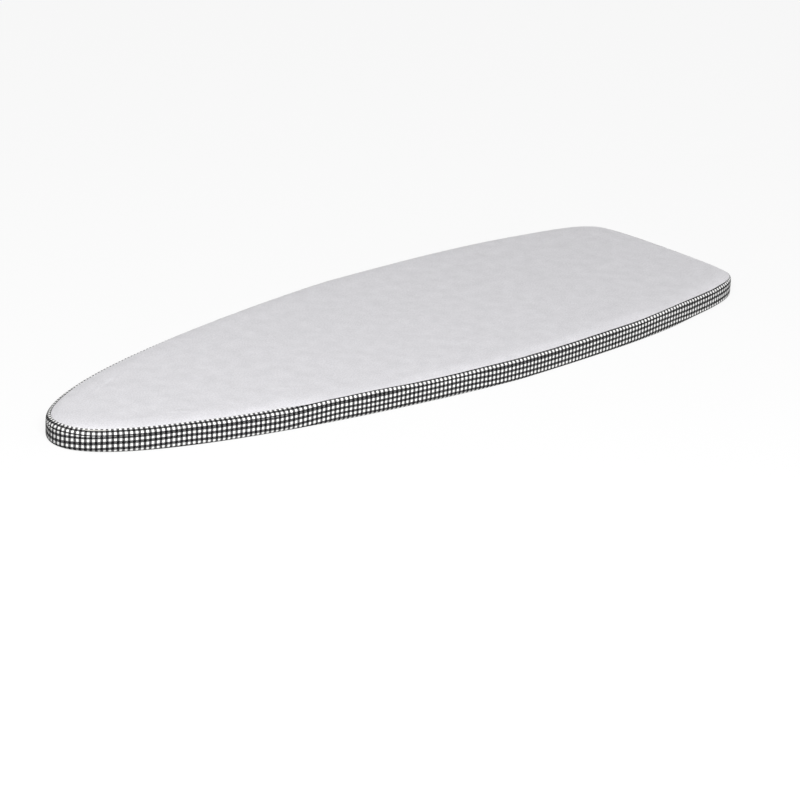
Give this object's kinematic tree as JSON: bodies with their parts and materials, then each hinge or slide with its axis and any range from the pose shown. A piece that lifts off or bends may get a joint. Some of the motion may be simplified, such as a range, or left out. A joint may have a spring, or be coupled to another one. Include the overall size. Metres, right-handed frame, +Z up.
{
  "type": "ironing board cover",
  "caption": "Fitted ironing board cover: padded metallised face, gingham band and skirt turned under to an elastic hem, with elastic straps and lever clips that pull it tight below.",
  "frame": {"origin": "middle of the footprint, on the surface that the turned-under skirt stands on", "axes": "+X from the pointed nose to the square tail, +Y to the left looking that way, +Z up out of the ironing face"},
  "size_m": [1.24, 0.4244, 0.0365],
  "materials": {
    "ironing_face": "metallised cotton, soft silver sheen",
    "gingham": "woven black and white gingham cotton",
    "foam": "open-cell foam",
    "felt": "needled felt",
    "hem_elastic": "braided elastic",
    "webbing": "woven elastic webbing",
    "plated_steel": "nickel-plated pressed sheet",
    "jaw_plastic": "moulded, ribbed"
  },
  "bodies": {
    "cover": {"top_panel": "ironing_face", "foam_layer": "foam", "felt_layer": "felt", "edge_binding": "gingham", "gingham_skirt": "gingham", "hem_elastic": "hem_elastic", "elastic_strap_nose": "webbing", "clip_frame_nose_left": "plated_steel", "clip_pin_nose_left": "plated_steel", "jaw_pad_nose_left": "jaw_plastic", "clip_frame_nose_right": "plated_steel", "clip_pin_nose_right": "plated_steel", "jaw_pad_nose_right": "jaw_plastic", "elastic_strap_middle": "webbing", "clip_frame_middle_left": "plated_steel", "clip_pin_middle_left": "plated_steel", "jaw_pad_middle_left": "jaw_plastic", "clip_frame_middle_right": "plated_steel", "clip_pin_middle_right": "plated_steel", "jaw_pad_middle_right": "jaw_plastic", "elastic_strap_tail": "webbing", "clip_frame_tail_left": "plated_steel", "clip_pin_tail_left": "plated_steel", "jaw_pad_tail_left": "jaw_plastic", "clip_frame_tail_right": "plated_steel", "clip_pin_tail_right": "plated_steel", "jaw_pad_tail_right": "jaw_plastic"},
    "lever_nose_left": {"clip_lever_nose_left": "plated_steel"},
    "lever_nose_right": {"clip_lever_nose_right": "plated_steel"},
    "lever_middle_left": {"clip_lever_middle_left": "plated_steel"},
    "lever_middle_right": {"clip_lever_middle_right": "plated_steel"},
    "lever_tail_left": {"clip_lever_tail_left": "plated_steel"},
    "lever_tail_right": {"clip_lever_tail_right": "plated_steel"}
  },
  "joints": [
    {"name": "open_clip_nose_left", "type": "hinge", "parent": "cover", "child": "lever_nose_left", "pos_m": [-0.248, 0.12762, 0.0031], "axis": [-1, 0, 0], "range_deg": [0, 100]},
    {"name": "open_clip_nose_right", "type": "hinge", "parent": "cover", "child": "lever_nose_right", "pos_m": [-0.248, -0.12762, 0.0031], "axis": [1, 0, 0], "range_deg": [0, 100]},
    {"name": "open_clip_middle_left", "type": "hinge", "parent": "cover", "child": "lever_middle_left", "pos_m": [0.062, 0.16342, 0.0031], "axis": [-1, 0, 0], "range_deg": [0, 100]},
    {"name": "open_clip_middle_right", "type": "hinge", "parent": "cover", "child": "lever_middle_right", "pos_m": [0.062, -0.16342, 0.0031], "axis": [1, 0, 0], "range_deg": [0, 100]},
    {"name": "open_clip_tail_left", "type": "hinge", "parent": "cover", "child": "lever_tail_left", "pos_m": [0.372, 0.15488, 0.0031], "axis": [-1, 0, 0], "range_deg": [0, 100]},
    {"name": "open_clip_tail_right", "type": "hinge", "parent": "cover", "child": "lever_tail_right", "pos_m": [0.372, -0.15488, 0.0031], "axis": [1, 0, 0], "range_deg": [0, 100]}
  ]
}
